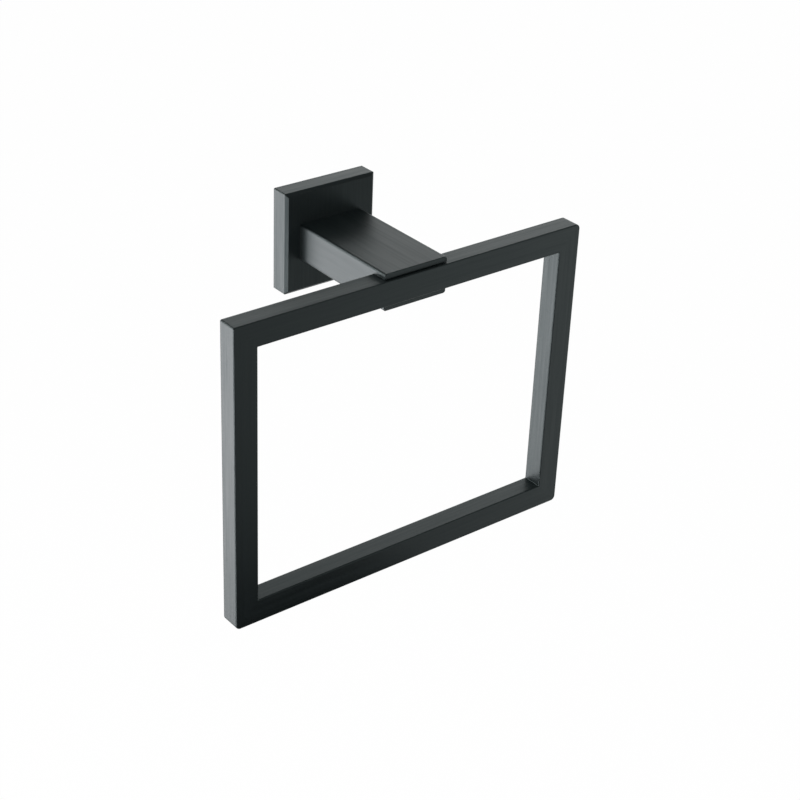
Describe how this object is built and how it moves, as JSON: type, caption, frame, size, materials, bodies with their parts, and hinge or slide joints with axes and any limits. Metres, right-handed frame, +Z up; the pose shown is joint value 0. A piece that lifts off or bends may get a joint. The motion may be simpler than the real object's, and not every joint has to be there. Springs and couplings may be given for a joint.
{
  "type": "towel ring",
  "caption": "Wall-mounted towel ring: a rectangular ring of flat bar held in the slotted end of a flat arm on a square bevelled rose, matte black.",
  "frame": {"origin": "centre of the rose's back face, on the wall", "axes": "+Y into the wall, +Z up, +X to the right of someone facing the wall, along the ring's top bar"},
  "size_m": [0.2, 0.078, 0.1777],
  "materials": {
    "black_coat": "matte black coating on brushed metal",
    "zinc_plate": "zinc-plated steel",
    "steel": "plain stainless steel",
    "black_steel": "black oxide on steel"
  },
  "bodies": {
    "root": {"towel_ring": "black_coat", "arm": "black_coat", "rose": "black_coat", "wall_bracket": "zinc_plate", "arm_screws": "steel", "ring_screw": "steel", "grub_screw": "black_steel"}
  },
  "joints": []
}
